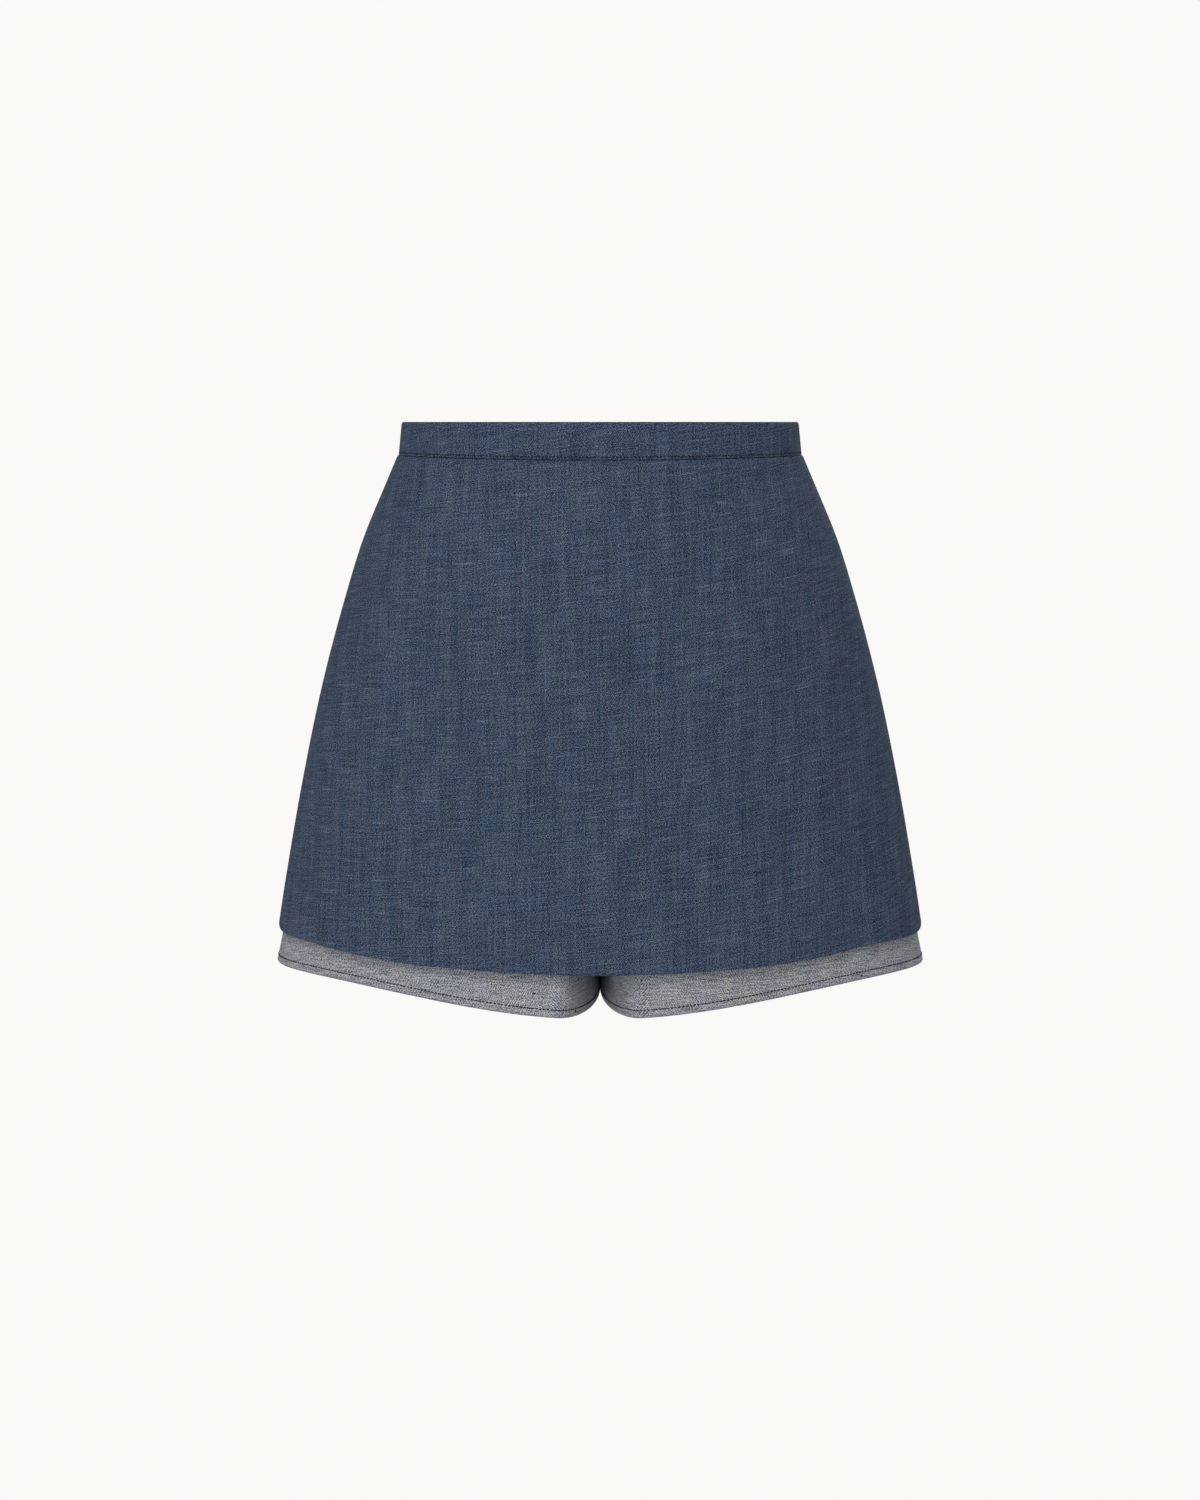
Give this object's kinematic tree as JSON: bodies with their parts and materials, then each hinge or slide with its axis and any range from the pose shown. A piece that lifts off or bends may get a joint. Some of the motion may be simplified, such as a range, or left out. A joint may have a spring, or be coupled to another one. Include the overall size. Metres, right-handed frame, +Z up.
{
  "type": "denim skort",
  "caption": "Short denim skort: an A-line apron front over shorts with pale turned-up cuffs, a plain waistband and a concealed back zip, filled out and hollow.",
  "frame": {"origin": "centre of the waist opening, in the plane of the waistband's top edge", "axes": "+Z up, front of the garment towards -Y, the wearer's left towards +X"},
  "size_m": [0.4012, 0.2465, 0.3539],
  "materials": {
    "denim": "matt indigo cotton denim, right side out",
    "reverse_denim": "matt cotton denim with its pale weft side out",
    "zip_metal": "dark navy lacquer"
  },
  "bodies": {
    "garment": {"waistband_front": "denim", "waistband_back_left": "denim", "waistband_back_right": "denim", "apron": "denim", "shorts_front_left": "denim", "shorts_front_right": "denim", "shorts_back_left": "denim", "shorts_back_right": "denim", "cuff_left": "reverse_denim", "cuff_right": "reverse_denim", "zip_slider": "zip_metal"},
    "pull_tab": {"zip_pull": "zip_metal"}
  },
  "joints": [
    {"name": "pull_tab_hinge", "type": "hinge", "parent": "garment", "child": "pull_tab", "pos_m": [0, 0.09611, -0.00757], "axis": [1, 0, 0], "range_deg": [0, 160]}
  ]
}
